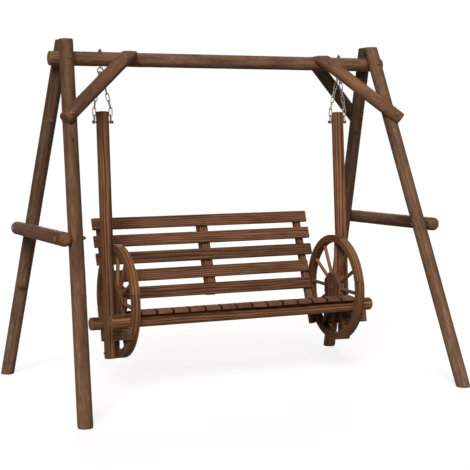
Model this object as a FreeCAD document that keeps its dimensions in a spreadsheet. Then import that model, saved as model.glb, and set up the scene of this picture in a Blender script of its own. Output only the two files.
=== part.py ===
import FreeCAD, Part
import Sketcher
import math
import os

# Garden swing bench: a log frame with a wagon-wheel bench hung from it on chains.
# Millimetres and degrees. +X to the right, +Y to the rear, +Z up, ground at Z = 0.

DIMENSIONS = {
    "frame_height": 1800,
    "leg_diameter": 70,
    "leg_foot_x": 1025,
    "leg_foot_y": 722,
    "leg_head_x": 876,
    "leg_head_y": 28,
    "leg_stock_length": 2090,
    "beam_diameter": 70.5,
    "beam_length": 1916,
    "beam_axis_height": 1705,
    "spreader_diameter": 68,
    "spreader_height": 834,
    "spreader_length": 917,
    "spreader_housing": 4,
    "spreader_edge": 14,
    "brace_diameter": 68,
    "brace_foot_x": 947,
    "brace_foot_y": 232,
    "brace_foot_height": 1397,
    "brace_head_x": 578,
    "brace_head_y": 68,
    "brace_head_height": 1709,
    "brace_end_x": 518,
    "brace_top_height": 1744,
    "brace_stock_length": 640,
    "log_edge": 5,
    "joint_gap": 0.2,
    "eye_spacing": 1380,
    "eye_centre_height": 1648,
    "eye_mean_diameter": 30,
    "eye_wire_diameter": 7,
    "eye_shank_diameter": 8,
    "eye_hole_diameter": 8.6,
    "eye_tip_height": 1756,
    "nut_width": 14,
    "nut_height": 7,
    "link_wire_diameter": 5.5,
    "link_inner_width": 10.5,
    "link_inner_length": 38,
    "links_per_strand": 7,
    "upright_links": 2,
    "link_play": 0.3,
    "chain_top_offset": 4.8,
    "chain_foot_offset": 43.5,
    "hanger_bolt_height": 1388,
    "hanger_bolt_diameter": 8,
    "hanger_bolt_hole": 8.6,
    "hanger_bolt_reach": 49,
    "hanger_bolt_head": 5,
    "hanger_bolt_tip": 9,
    "hanger_tilt": 3.45,
    "hanger_x": 682,
    "hanger_diameter": 63,
    "hanger_length": 1260,
    "hanger_head_rise": 54,
    "wheel_drop": 914.5,
    "wheel_outer_face_x": 654,
    "wheel_phase": 6,
    "rim_outer_diameter": 581,
    "rim_inner_diameter": 500,
    "rim_width": 40,
    "felloe_count": 6,
    "felloe_joint": 0.6,
    "felloe_phase": 15,
    "spoke_count": 12,
    "spoke_diameter": 19,
    "hub_width": 160,
    "hub_length": 45,
    "seat_slope": 6,
    "seat_log_diameter": 66,
    "seat_log_length": 1484,
    "seat_log_front_y": -193,
    "seat_log_front_z": -86.5,
    "seat_log_spacing": 341.5,
    "bearer_thickness": 20,
    "bearer_height": 64,
    "bearer_length": 444,
    "bearer_front_overhang": 66,
    "bearer_saddle": 2,
    "seat_slat_count": 14,
    "seat_slat_pitch": 86.9,
    "seat_slat_width": 79,
    "seat_slat_thickness": 30,
    "seat_slat_nose_depth": 45,
    "seat_slat_nose_drop": 13,
    "seat_bed_length": 1212,
    "seat_bed_depth": 11.5,
    "seat_slat_length": 466,
    "seat_slat_front_overhang": 82,
    "board_edge": 2.5,
    "back_recline": 16.7,
    "back_top_y": 350,
    "back_top_z": -487,
    "back_slat_count": 5,
    "back_slat_pitch": 98,
    "back_slat_height": 64,
    "back_slat_thickness": 20,
    "back_slat_long": 1294,
    "back_slat_short": 1212,
    "back_long_slats": 3,
    "post_drop": 14,
    "post_depth": 42,
    "end_post_width": 34,
    "end_post_length": 640,
    "end_post_face_x": 613.7,
    "middle_post_width": 57,
    "middle_post_length": 436,
}

V = FreeCAD.Vector
X_AXIS = V(1, 0, 0)
Y_AXIS = V(0, 1, 0)
Z_AXIS = V(0, 0, 1)
SIDES = {"left": -1, "right": 1}
FACES = {"front": -1, "rear": 1}
STRANDS = {"outer": 1, "inner": -1}

doc = FreeCAD.newDocument("swing_bench")
sheet = doc.addObject("Spreadsheet::Sheet", "dimensions")
for row, (alias, value) in enumerate(DIMENSIONS.items(), 1):
    sheet.set(f"A{row}", alias)
    sheet.set(f"B{row}", str(value))
    sheet.setAlias(f"B{row}", alias)
doc.recompute()

nodes = []


def size(alias):
    return float(sheet.get(alias))


def term(*pairs):
    """A length as a sum of sheet cells times factors: its value and its expression."""
    value = sum(size(alias) * factor for alias, factor in pairs)
    text = " + ".join(f"dimensions.{alias} * ({factor})" for alias, factor in pairs)
    return value, text


def negative(pairs):
    return [(alias, -factor) for alias, factor in pairs]


def along(start, direction):
    """Placement whose origin is at start and whose Z axis points along direction."""
    return FreeCAD.Placement(start, FreeCAD.Rotation(Z_AXIS, direction))


def node(obj, label):
    """Name a finished piece."""
    obj.Label = label
    nodes.append(obj)


def origin_feature(body, role):
    return next(feature for feature in body.Origin.OriginFeatures if feature.Role == role)


def new_sketch(body, role, name):
    sketch = body.newObject("Sketcher::SketchObject", name)
    sketch.AttachmentSupport = (origin_feature(body, role), [""])
    sketch.MapMode = "FlatFace"
    return sketch


def outline(body, role, corners):
    """Closed sketch of straight sides. Each corner is a pair of terms, or 0 on an axis."""
    sketch = new_sketch(body, role, body.Name + "_outline")
    pairs = [[(0, None) if item == 0 else item for item in corner] for corner in corners]
    points = [V(x[0], y[0], 0) for x, y in pairs]
    count = len(points)
    for index in range(count):
        sketch.addGeometry(Part.LineSegment(points[index], points[(index + 1) % count]), False)
    for index in range(count):
        sketch.addConstraint(Sketcher.Constraint("Coincident", index, 2, (index + 1) % count, 1))
    for index, corner in enumerate(pairs):
        for kind, (value, text) in zip(("DistanceX", "DistanceY"), corner):
            number = sketch.addConstraint(Sketcher.Constraint(kind, -1, 1, index, 1, value))
            if text:
                sketch.setExpression(f"Constraints[{number}]", text)
    return sketch


def turned_log(name, diameter, length, edge):
    """Round log along Z, turned from a half profile with a chamfer at each end."""
    body = doc.addObject("PartDesign::Body", name)
    radius = (diameter, 0.5)
    corners = [
        (0, 0),
        (term(radius, (edge, -1)), 0),
        (term(radius), term((edge, 1))),
        (term(radius), term((length, 1), (edge, -1))),
        (term(radius, (edge, -1)), term((length, 1))),
        (0, term((length, 1))),
    ]
    sketch = outline(body, "XZ_Plane", corners)
    turning = body.newObject("PartDesign::Revolution", name + "_turning")
    turning.Profile = sketch
    turning.ReferenceAxis = (sketch, ["V_Axis"])
    turning.Angle = 360
    return body


def pole(name, radius, length, placement):
    """Round pole or bore. Its radius and length are expressions."""
    cylinder = doc.addObject("Part::Cylinder", name)
    cylinder.setExpression("Radius", radius)
    cylinder.setExpression("Height", length)
    cylinder.Placement = placement
    return cylinder


def box(name, length, width, height, placement):
    """Box whose three sizes are expressions."""
    block = doc.addObject("Part::Box", name)
    block.setExpression("Length", length)
    block.setExpression("Width", width)
    block.setExpression("Height", height)
    block.Placement = placement
    return block


def hexagon(name, width, height, placement):
    """Hexagonal prism for a bolt head or a nut, by its width across flats."""
    prism = doc.addObject("Part::Prism", name)
    prism.Polygon = 6
    prism.setExpression("Circumradius", f"{width} / sqrt(3)")
    prism.setExpression("Height", height)
    prism.Placement = placement
    return prism


def fuse(name, shapes):
    joined = doc.addObject("Part::MultiFuse", name)
    joined.Shapes = shapes
    return joined


def cut(name, base, tools):
    result = doc.addObject("Part::Cut", name)
    result.Base = base
    result.Tool = tools[0] if len(tools) == 1 else fuse(name + "_tools", tools)
    return result


def common(name, base, tool):
    result = doc.addObject("Part::Common", name)
    result.Base = base
    result.Tool = tool
    return result


def group(label, pieces):
    """One node that holds like pieces as separate solids."""
    compound = doc.addObject("Part::Compound", label)
    compound.Links = pieces
    node(compound, label)


# Frame: axes of the legs and braces, and the tools that cope one log over another
def leg_point(side, face, height):
    share = height / size("frame_height")
    x = size("leg_foot_x") + (size("leg_head_x") - size("leg_foot_x")) * share
    y = size("leg_foot_y") + (size("leg_head_y") - size("leg_foot_y")) * share
    return V(side * x, face * y, height)


def leg_axis(side, face):
    """Placement along a leg's axis, starting a log's thickness below the ground."""
    start = leg_point(side, face, -size("leg_diameter"))
    return along(start, leg_point(side, face, size("frame_height")) - start)


def brace_axis(side, face):
    """Placement along a brace's axis, starting at its foot outside the leg."""
    foot = V(side * size("brace_foot_x"), face * size("brace_foot_y"), size("brace_foot_height"))
    head = V(side * size("brace_head_x"), face * size("brace_head_y"), size("brace_head_height"))
    return along(foot, head - foot)


def leg_tool(name, side, face):
    radius = "dimensions.leg_diameter / 2 + dimensions.joint_gap"
    return pole(name, radius, "dimensions.leg_stock_length", leg_axis(side, face))


BEAM_AXIS = along(V(-size("beam_length") / 2, 0, size("beam_axis_height")), X_AXIS)


def beam_tool(name):
    radius = "dimensions.beam_diameter / 2 + dimensions.joint_gap"
    return pole(name, radius, "dimensions.beam_length", BEAM_AXIS)


# Frame: top beam, drilled upright for the two eye bolts
beam_log = pole("top_beam_log", "dimensions.beam_diameter / 2", "dimensions.beam_length", BEAM_AXIS)
eye_holes = []
for side_name, side in SIDES.items():
    under_beam = V(side * size("eye_spacing") / 2, 0, size("beam_axis_height") - size("beam_diameter"))
    eye_holes.append(
        pole(
            f"eye_hole_{side_name}",
            "dimensions.eye_hole_diameter / 2",
            "dimensions.beam_diameter * 2",
            along(under_beam, Z_AXIS),
        )
    )
node(cut("top_beam", beam_log, eye_holes), "top_beam")

# Frame: legs, cut level at foot and top, trimmed where front and rear meet, coped for the beam
for side_name, side in SIDES.items():
    for face_name, face in FACES.items():
        name = f"leg_{face_name}_{side_name}"
        log = pole(
            name + "_log",
            "dimensions.leg_diameter / 2",
            "dimensions.leg_stock_length",
            leg_axis(side, face),
        )
        reach_x = size("leg_foot_x") + size("leg_diameter")
        reach_y = size("leg_foot_y") + size("leg_diameter")
        low_x = min(0, side * reach_x)
        low_y = min(0, face * reach_y) + face * size("joint_gap")
        room = box(
            name + "_room",
            "dimensions.leg_foot_x + dimensions.leg_diameter",
            "dimensions.leg_foot_y + dimensions.leg_diameter",
            "dimensions.frame_height",
            FreeCAD.Placement(V(low_x, low_y, 0), FreeCAD.Rotation()),
        )
        trimmed = common(name + "_trimmed", log, room)
        node(cut(name, trimmed, [beam_tool(name + "_cope")]), name)

# Frame: spreaders outside the legs, each with a shallow housing where it crosses a leg
SPREADER_X = (
    leg_point(1, 1, size("spreader_height")).x
    + size("leg_diameter") / 2
    + size("spreader_diameter") / 2
    - size("spreader_housing")
)
for side_name, side in SIDES.items():
    name = f"spreader_{side_name}"
    log = turned_log(name + "_log", "spreader_diameter", "spreader_length", "spreader_edge")
    log.Placement = along(
        V(side * SPREADER_X, -size("spreader_length") / 2, size("spreader_height")), Y_AXIS
    )
    housings = [leg_tool(f"{name}_housing_{face_name}", side, face) for face_name, face in FACES.items()]
    node(cut(name, log, housings), name)

# Frame: braces, square at the foot, cut level above the beam, notched over the leg and the beam.
# Three of the legs have one; the rear left leg has none.
BRACES = (("front", "left"), ("front", "right"), ("rear", "right"))
for face_name, side_name in BRACES:
    face = FACES[face_name]
    side = SIDES[side_name]
    name = f"brace_{face_name}_{side_name}"
    log = pole(
        name + "_log",
        "dimensions.brace_diameter / 2",
        "dimensions.brace_stock_length",
        brace_axis(side, face),
    )
    low_x = size("brace_end_x") if side > 0 else -size("leg_foot_x")
    low_y = 0 if face > 0 else -size("leg_foot_y")
    room = box(
        name + "_room",
        "dimensions.leg_foot_x - dimensions.brace_end_x",
        "dimensions.leg_foot_y",
        "dimensions.brace_top_height",
        FreeCAD.Placement(V(low_x, low_y, 0), FreeCAD.Rotation()),
    )
    trimmed = common(name + "_trimmed", log, room)
    notches = [leg_tool(name + "_notch", side, face), beam_tool(name + "_cope")]
    node(cut(name, trimmed, notches), name)

# Eyes and chain links: bar bent to a closed loop with mitred corners
BAR_SIDES = 6
HUB_SIDES = 8
SPOKE_SIDES = 8
EYE_SIDES = 12


def polygon(width, sides, centre=()):
    """Corners of a regular polygon by its width across flats, its centre moved out along X."""
    reach = 0.5 / math.cos(math.pi / sides)
    corners = []
    for number in range(sides):
        angle = (2 * number - 1) * math.pi / sides
        corners.append((
            term((width, reach * math.cos(angle)), *centre),
            term((width, reach * math.sin(angle))),
        ))
    return corners


def bent_bar(name, path_corners, half_width, wire):
    """Loop in the XZ plane. The bar's section starts where the loop crosses the X axis."""
    body = doc.addObject("PartDesign::Body", name)
    path = outline(body, "XZ_Plane", path_corners)
    section = outline(body, "XY_Plane", polygon(wire, BAR_SIDES, half_width))
    sweep = body.newObject("PartDesign::AdditivePipe", name + "_sweep")
    sweep.Profile = section
    sweep.Spine = path
    sweep.Transition = "Right corner"
    return body


def bored_nut(name, bore, seat, direction):
    """Hexagon nut that starts at seat."""
    nut = hexagon(name + "_hex", "dimensions.nut_width", "dimensions.nut_height", along(seat, direction))
    tool = pole(
        name + "_bore",
        f"dimensions.{bore} / 2",
        "dimensions.nut_height * 2",
        along(seat - direction * size("nut_height") / 2, direction),
    )
    return cut(name, nut, [tool])


# Eye bolts: a ring across the front and a shank up through the beam to a nut on top
eye_nuts = []
for side_name, side in SIDES.items():
    name = f"eye_bolt_{side_name}"
    loop = polygon("eye_mean_diameter", EYE_SIDES)
    centre = V(side * size("eye_spacing") / 2, 0, size("eye_centre_height"))
    ring = bent_bar(name + "_ring", loop, [("eye_mean_diameter", 0.5)], "eye_wire_diameter")
    ring.Placement = FreeCAD.Placement(centre, FreeCAD.Rotation())
    shank = pole(
        name + "_shank",
        "dimensions.eye_shank_diameter / 2",
        "dimensions.eye_tip_height - dimensions.eye_centre_height - dimensions.eye_mean_diameter / 2",
        along(centre + Z_AXIS * size("eye_mean_diameter") / 2, Z_AXIS),
    )
    node(fuse(name, [ring, shank]), name)
    beam_top = size("beam_axis_height") + size("beam_diameter") / 2 + size("joint_gap")
    eye_nuts.append(bored_nut(f"eye_nut_{side_name}", "eye_hole_diameter", V(centre.x, 0, beam_top), Z_AXIS))
group("eye_nuts", eye_nuts)

# Chains: one welded link
LINK_SIDE = [("link_inner_width", 0.5), ("link_wire_diameter", 0.5)]
LINK_BEND = [(alias, factor * math.tan(math.pi / 8)) for alias, factor in LINK_SIDE]
LINK_CROWN = [("link_inner_length", 0.5), ("link_wire_diameter", 0.5)]
LINK_SHOULDER = LINK_CROWN + negative(LINK_SIDE) + LINK_BEND
link_loop = []
for across, up in (
    (LINK_SIDE, negative(LINK_SHOULDER)),
    (LINK_SIDE, LINK_SHOULDER),
    (LINK_BEND, LINK_CROWN),
    (negative(LINK_BEND), LINK_CROWN),
    (negative(LINK_SIDE), LINK_SHOULDER),
    (negative(LINK_SIDE), negative(LINK_SHOULDER)),
    (negative(LINK_BEND), negative(LINK_CROWN)),
    (LINK_BEND, negative(LINK_CROWN)),
):
    link_loop.append((term(*across), term(*up)))
link = bent_bar("chain_link", link_loop, LINK_SIDE, "link_wire_diameter")

# Chains: strands from an eye, leaning out, then upright beside the hanger
EYE_INNER_RADIUS = size("eye_mean_diameter") / 2 - size("eye_wire_diameter") / 2
BAR_REACH = size("link_wire_diameter") / 2 / math.cos(math.pi / BAR_SIDES)
LINK_EDGE = size("chain_top_offset") + BAR_REACH
CHAIN_TOP = (
    size("eye_centre_height")
    - math.sqrt(EYE_INNER_RADIUS ** 2 - LINK_EDGE ** 2)
    + size("link_play")
)
CHAIN_FOOT = size("hanger_bolt_height") - size("hanger_bolt_diameter") / 2 - size("link_play")
LEANING_LINKS = size("links_per_strand") - size("upright_links")


def strand_pitch(lean):
    """Pitch at which the leaning and the upright links together span the drop."""
    drop = CHAIN_TOP - CHAIN_FOOT
    square = LEANING_LINKS ** 2 - size("upright_links") ** 2
    slope = size("upright_links") * drop
    return (math.sqrt(slope ** 2 + square * (lean ** 2 + drop ** 2)) - slope) / square


for side_name, side in SIDES.items():
    for strand_name, strand in STRANDS.items():
        top_x = side * (size("eye_spacing") / 2 + strand * size("chain_top_offset"))
        foot_x = side * (size("hanger_x") + strand * size("chain_foot_offset"))
        pitch = strand_pitch(foot_x - top_x)
        top = V(top_x, 0, CHAIN_TOP)
        bend = V(foot_x, 0, CHAIN_FOOT + size("upright_links") * pitch)
        lean = (bend - top).normalize()
        links = []
        for index in range(int(size("links_per_strand"))):
            if index < LEANING_LINKS:
                run = lean
                start = top + run * pitch * index
            else:
                run = Z_AXIS * -1
                start = bend + run * pitch * (index - LEANING_LINKS)
            across = Y_AXIS if index % 2 == 0 else Y_AXIS.cross(run)
            turn = FreeCAD.Rotation(across, across.cross(run), run * -1, "ZXY")
            copy = doc.addObject("App::Link", f"link_{side_name}_{strand_name}_{index + 1}")
            copy.LinkedObject = link
            copy.Placement = FreeCAD.Placement(start + run * pitch / 2, turn)
            links.append(copy)
        group(f"chain_{side_name}_{strand_name}", links)

# Bench: its own frame hangs from the axis of the hanger bolts, tilted as it hangs at rest
BENCH = FreeCAD.Placement(
    V(0, 0, size("hanger_bolt_height")), FreeCAD.Rotation(X_AXIS, -size("hanger_tilt"))
)


def placed(parent, point, rotation=FreeCAD.Rotation()):
    return parent.multiply(FreeCAD.Placement(point, rotation))


WHEEL_Z = -size("wheel_drop")
SEAT = placed(
    BENCH,
    V(0, size("seat_log_front_y"), WHEEL_Z + size("seat_log_front_z")),
    FreeCAD.Rotation(X_AXIS, -size("seat_slope")),
)
BACK = placed(
    BENCH,
    V(0, size("back_top_y"), size("back_top_z")),
    FreeCAD.Rotation(X_AXIS, -size("back_recline")),
)


def board(name, length, width, height, parent, corner):
    """Sawn board with its four long edges eased."""
    block = box(
        name + "_sawn",
        f"dimensions.{length}",
        f"dimensions.{width}",
        f"dimensions.{height}",
        placed(parent, corner),
    )
    block.recompute()
    longest = max(edge.Length for edge in block.Shape.Edges)
    eased = doc.addObject("Part::Chamfer", name)
    eased.Base = block
    eased.Edges = [
        (number, size("board_edge"), size("board_edge"))
        for number, edge in enumerate(block.Shape.Edges, 1)
        if edge.Length > longest - size("board_edge")
    ]
    return eased


# Bench: hanger bolts, which carry a chain link on either side of the hanger
hanger_bolts = []
hanger_nuts = []
for side_name, side in SIDES.items():
    name = f"hanger_bolt_{side_name}"
    inwards = X_AXIS * -side
    outer = V(side * (size("hanger_x") + size("hanger_bolt_reach")), 0, size("hanger_bolt_height"))
    head = hexagon(
        name + "_head",
        "dimensions.nut_width",
        "dimensions.hanger_bolt_head",
        along(outer - inwards * size("hanger_bolt_head"), inwards),
    )
    shank = pole(
        name + "_shank",
        "dimensions.hanger_bolt_diameter / 2",
        "dimensions.hanger_bolt_reach * 2 + dimensions.hanger_bolt_tip",
        along(outer, inwards),
    )
    hanger_bolts.append(fuse(name, [head, shank]))
    seat = outer + inwards * 2 * size("hanger_bolt_reach")
    hanger_nuts.append(bored_nut(f"hanger_nut_{side_name}", "hanger_bolt_hole", seat, inwards))
group("hanger_bolts", hanger_bolts)
group("hanger_nuts", hanger_nuts)

# Bench: seat logs through both wheels, flattened between them as a bed for the slats
SEAT_LOGS = {"front": 0, "rear": size("seat_log_spacing")}
SLAT_UNDERSIDE = size("seat_log_diameter") / 2 - size("seat_bed_depth")
SLAT_CORNER = V(-size("seat_bed_length") / 2, -size("seat_slat_front_overhang"), SLAT_UNDERSIDE)
seat_bed = box(
    "seat_bed",
    "dimensions.seat_bed_length",
    "dimensions.seat_slat_length",
    "dimensions.seat_log_diameter",
    placed(SEAT, SLAT_CORNER - Z_AXIS * size("joint_gap")),
)


def seat_log_axis(offset):
    return placed(
        SEAT, V(-size("seat_log_length") / 2, offset, 0), FreeCAD.Rotation(Z_AXIS, X_AXIS)
    )


for log_name, offset in SEAT_LOGS.items():
    name = f"seat_log_{log_name}"
    log = turned_log(name + "_turned", "seat_log_diameter", "seat_log_length", "log_edge")
    log.Placement = seat_log_axis(offset)
    node(cut(name, log, [seat_bed]), name)

# Bench: bearers, boards on edge against the wheels, with shallow saddles for the seat logs
BEARER_TOP = size("bearer_saddle") - size("seat_log_diameter") / 2


def bearer_corner(side):
    inner = size("wheel_outer_face_x") + size("joint_gap")
    low_x = inner if side > 0 else -inner - size("bearer_thickness")
    return V(low_x, -size("bearer_front_overhang"), BEARER_TOP - size("bearer_height"))


for side_name, side in SIDES.items():
    name = f"bearer_{side_name}"
    plank = board(
        name + "_plank",
        "bearer_thickness",
        "bearer_length",
        "bearer_height",
        SEAT,
        bearer_corner(side),
    )
    saddles = []
    for log_name, offset in SEAT_LOGS.items():
        saddles.append(
            pole(
                f"{name}_saddle_{log_name}",
                "dimensions.seat_log_diameter / 2 + dimensions.joint_gap",
                "dimensions.seat_log_length",
                seat_log_axis(offset),
            )
        )
    node(cut(name, plank, saddles), name)

# Bench: hangers, round poles flattened against the wheel and housed for the bearer
for side_name, side in SIDES.items():
    name = f"hanger_{side_name}"
    foot = V(side * size("hanger_x"), 0, size("hanger_head_rise") - size("hanger_length"))
    log = pole(
        name + "_log", "dimensions.hanger_diameter / 2", "dimensions.hanger_length", placed(BENCH, foot)
    )
    flat_x = side * size("wheel_outer_face_x") - (size("rim_width") if side > 0 else 0)
    flat = box(
        name + "_flat",
        "dimensions.rim_width",
        "dimensions.hanger_diameter",
        "dimensions.rim_outer_diameter * 1.1",
        placed(
            BENCH,
            V(flat_x, -size("hanger_diameter") / 2, WHEEL_Z - size("rim_outer_diameter") * 0.55),
        ),
    )
    housing = box(
        name + "_housing",
        "dimensions.bearer_thickness + dimensions.joint_gap * 2",
        "dimensions.bearer_length",
        "dimensions.bearer_height + dimensions.joint_gap * 2",
        placed(SEAT, bearer_corner(side) - V(size("joint_gap"), 0, size("joint_gap"))),
    )
    bolt_hole = pole(
        name + "_bolt_hole",
        "dimensions.hanger_bolt_hole / 2",
        "dimensions.hanger_diameter * 2",
        along(V(side * size("hanger_x") - size("hanger_diameter"), 0, size("hanger_bolt_height")), X_AXIS),
    )
    node(cut(name, log, [flat, housing, bolt_hole]), name)


# Bench: wagon wheels, felloes round spokes round an eight-sided hub
def wheel_placement(side, inset, twist=0):
    """Wheel frame: its X axis along the spoke that points to the front, its Z axis inwards, then twisted."""
    phase = math.radians(size("wheel_phase"))
    forward = V(0, -math.cos(phase), -math.sin(phase))
    inward = V(-side, 0, 0)
    turn = FreeCAD.Rotation(forward, inward.cross(forward), inward, "ZXY")
    turn = turn.multiply(FreeCAD.Rotation(Z_AXIS, twist))
    return placed(BENCH, V(side * (size("wheel_outer_face_x") - inset), 0, WHEEL_Z), turn)


def polar(body, feature, count):
    pattern = body.newObject("PartDesign::PolarPattern", body.Name + "_pattern")
    pattern.Originals = [feature]
    pattern.Axis = (origin_feature(body, "Z_Axis"), [""])
    pattern.Angle = 360
    pattern.setExpression("Occurrences", f"dimensions.{count}")
    body.Tip = pattern


def felloe_ring(name):
    """Rim segments, patterned from one that is padded between two arcs."""
    body = doc.addObject("PartDesign::Body", name)
    sketch = new_sketch(body, "XY_Plane", name + "_segment")
    half_turn = math.pi / size("felloe_count")
    rims = ("rim_outer_diameter", "rim_inner_diameter")
    for alias in rims:
        circle = Part.Circle(V(0, 0, 0), Z_AXIS, size(alias) / 2)
        sketch.addGeometry(Part.ArcOfCircle(circle, -half_turn, half_turn), False)
    for sign in (-1, 1):
        ray = V(math.cos(half_turn), sign * math.sin(half_turn), 0)
        joint = Part.LineSegment(ray * size(rims[0]) / 2, ray * size(rims[1]) / 2)
        sketch.addGeometry(joint, False)
    for arc, alias in enumerate(rims):
        sketch.addConstraint(Sketcher.Constraint("Coincident", arc, 3, -1, 1))
        number = sketch.addConstraint(Sketcher.Constraint("Radius", arc, size(alias) / 2))
        sketch.setExpression(f"Constraints[{number}]", f"dimensions.{alias} / 2")
        chord = f"dimensions.{alias} * sin(180 deg / dimensions.felloe_count) - dimensions.felloe_joint"
        rise = (size(alias) * math.sin(half_turn) - size("felloe_joint")) / 2
        for end, sign in ((1, -1), (2, 1)):
            sketch.addConstraint(Sketcher.Constraint("Coincident", arc, end, end + 1, arc + 1))
            number = sketch.addConstraint(
                Sketcher.Constraint("DistanceY", -1, 1, arc, end, sign * rise)
            )
            sketch.setExpression(f"Constraints[{number}]", f"{sign} * ({chord}) / 2")
    pad = body.newObject("PartDesign::Pad", name + "_pad")
    pad.Profile = sketch
    pad.setExpression("Length", "dimensions.rim_width")
    polar(body, pad, "felloe_count")
    return body


def spoke_star(name):
    """Shaved spokes of eight sides, patterned from one that runs out from the wheel's centre."""
    body = doc.addObject("PartDesign::Body", name)
    sketch = outline(body, "YZ_Plane", polygon("spoke_diameter", SPOKE_SIDES))
    pad = body.newObject("PartDesign::Pad", name + "_pad")
    pad.Profile = sketch
    pad.setExpression("Length", "dimensions.rim_inner_diameter / 2 - dimensions.joint_gap")
    polar(body, pad, "spoke_count")
    return body


def hub_block(name):
    body = doc.addObject("PartDesign::Body", name)
    sketch = outline(body, "XY_Plane", polygon("hub_width", HUB_SIDES))
    pad = body.newObject("PartDesign::Pad", name + "_pad")
    pad.Profile = sketch
    pad.setExpression("Length", "dimensions.hub_length")
    return body


for side_name, side in SIDES.items():
    felloes = felloe_ring(f"wheel_{side_name}_felloes")
    felloes.Placement = wheel_placement(side, 0, -side * size("felloe_phase"))
    node(felloes, f"wheel_{side_name}_felloes")
    hub = hub_block(f"wheel_{side_name}_hub")
    hub.Placement = wheel_placement(side, 0)
    node(hub, f"wheel_{side_name}_hub")
    star = spoke_star(f"wheel_{side_name}_star")
    star.Placement = wheel_placement(side, size("rim_width") / 2)
    node(cut(f"wheel_{side_name}_spokes", star, [hub]), f"wheel_{side_name}_spokes")

# Bench: seat slats, front to back over the seat logs, planed down to a thinner nose at the front
nose_slope = math.atan2(size("seat_slat_nose_drop"), size("seat_slat_nose_depth"))
nose_cut = box(
    "seat_slat_nose",
    "dimensions.seat_bed_length",
    "dimensions.seat_slat_nose_depth * 1.2",
    "dimensions.seat_slat_thickness",
    placed(
        SEAT,
        SLAT_CORNER + Z_AXIS * (size("seat_slat_thickness") - size("seat_slat_nose_drop")),
        FreeCAD.Rotation(X_AXIS, math.degrees(nose_slope)),
    ),
)
for number in range(int(size("seat_slat_count"))):
    name = f"seat_slat_{number + 1:02d}"
    middle = (number - (size("seat_slat_count") - 1) / 2) * size("seat_slat_pitch")
    corner = V(
        middle - size("seat_slat_width") / 2,
        -size("seat_slat_front_overhang"),
        SLAT_UNDERSIDE,
    )
    plank = board(name + "_plank", "seat_slat_width", "seat_slat_length", "seat_slat_thickness", SEAT, corner)
    node(cut(name, plank, [nose_cut]), name)

# Bench: back posts behind the back slats, the outer two running down past the seat
BACK_POSTS = {
    "left": ("end_post_width", "end_post_length", -size("end_post_face_x")),
    "middle": ("middle_post_width", "middle_post_length", -size("middle_post_width") / 2),
    "right": ("end_post_width", "end_post_length", size("end_post_face_x") - size("end_post_width")),
}
for post_name, (width, length, low_x) in BACK_POSTS.items():
    name = f"back_post_{post_name}"
    corner = V(low_x, size("back_slat_thickness"), -size("post_drop") - size(length))
    node(board(name, width, "post_depth", length, BACK, corner), name)

# Bench: back slats, the upper ones longer because they pass behind the wheels
for number in range(int(size("back_slat_count"))):
    name = f"back_slat_{number + 1}"
    length = "back_slat_long" if number < size("back_long_slats") else "back_slat_short"
    low_z = -number * size("back_slat_pitch") - size("back_slat_height")
    corner = V(-size(length) / 2, 0, low_z)
    node(board(name, length, "back_slat_thickness", "back_slat_height", BACK, corner), name)

# Every feature and every piece is sound before anything is written
doc.recompute()
faults = [obj.Name for obj in doc.Objects if {"Invalid", "Error"} & set(obj.State)]
faults += [obj.Label for obj in nodes if obj.Shape.isNull() or not obj.Shape.isValid()]
if faults:
    raise RuntimeError("failed features: " + ", ".join(faults))
os.makedirs("parts", exist_ok=True)
for obj in nodes:
    obj.Shape.exportStep(f"parts/{obj.Label}.step")
print(len(nodes), "pieces written")
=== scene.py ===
import math
import random

import bmesh
import bpy
from mathutils import Matrix, Vector, noise
from mathutils.bvhtree import BVHTree


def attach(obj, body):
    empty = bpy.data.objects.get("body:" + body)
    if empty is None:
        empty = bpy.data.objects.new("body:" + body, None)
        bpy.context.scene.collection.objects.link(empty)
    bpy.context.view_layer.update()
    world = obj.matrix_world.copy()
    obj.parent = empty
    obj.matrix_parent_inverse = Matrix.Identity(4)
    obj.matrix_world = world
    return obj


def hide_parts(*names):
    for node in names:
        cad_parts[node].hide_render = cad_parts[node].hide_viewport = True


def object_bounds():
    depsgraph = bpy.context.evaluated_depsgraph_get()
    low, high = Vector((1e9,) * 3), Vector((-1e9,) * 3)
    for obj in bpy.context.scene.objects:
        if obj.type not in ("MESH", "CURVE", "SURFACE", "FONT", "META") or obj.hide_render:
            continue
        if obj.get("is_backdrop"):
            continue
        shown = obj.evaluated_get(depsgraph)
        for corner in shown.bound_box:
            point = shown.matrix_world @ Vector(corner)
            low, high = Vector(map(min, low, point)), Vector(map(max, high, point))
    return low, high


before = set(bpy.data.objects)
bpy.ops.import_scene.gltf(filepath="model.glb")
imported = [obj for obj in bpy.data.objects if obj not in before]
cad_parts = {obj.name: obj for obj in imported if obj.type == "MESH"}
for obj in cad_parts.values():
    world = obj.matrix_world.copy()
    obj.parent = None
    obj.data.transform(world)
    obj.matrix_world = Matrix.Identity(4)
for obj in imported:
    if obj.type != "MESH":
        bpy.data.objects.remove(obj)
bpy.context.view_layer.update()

# Legs: four peeled round fir logs, 70 mm thick, leaning in both ways and cut level at foot and top.
# The surface is scorched and brushed, so fine dark streaks run along it and the knots stay darker.
# Front and rear leg cross over the beam, and each is coped to sit round it.
SIDES = {"left": -1, "right": 1}
FACES = {"front": -1, "rear": 1}
LEG_FOOT = (1.025, 0.722, 0.0)
LEG_TOP = (0.876, 0.028, 1.8)
LEG_RADIUS = 0.035
# Each leg's own tone. The rear legs' low tones are painted shade, for the shade they stand in.
LEG_TONES_AND_REAR_SHADE = {
    ("front", "left"): 0.19,
    ("front", "right"): 0.4,
    ("rear", "left"): 0.164,
    ("rear", "right"): 0.05,
}
# One branch scar shows: its turn about the log, height, width, and length as a part of that width.
LEG_SCARS = {("rear", "left"): ((math.radians(158), 0.552, 0.032, 0.6),)}


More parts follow.
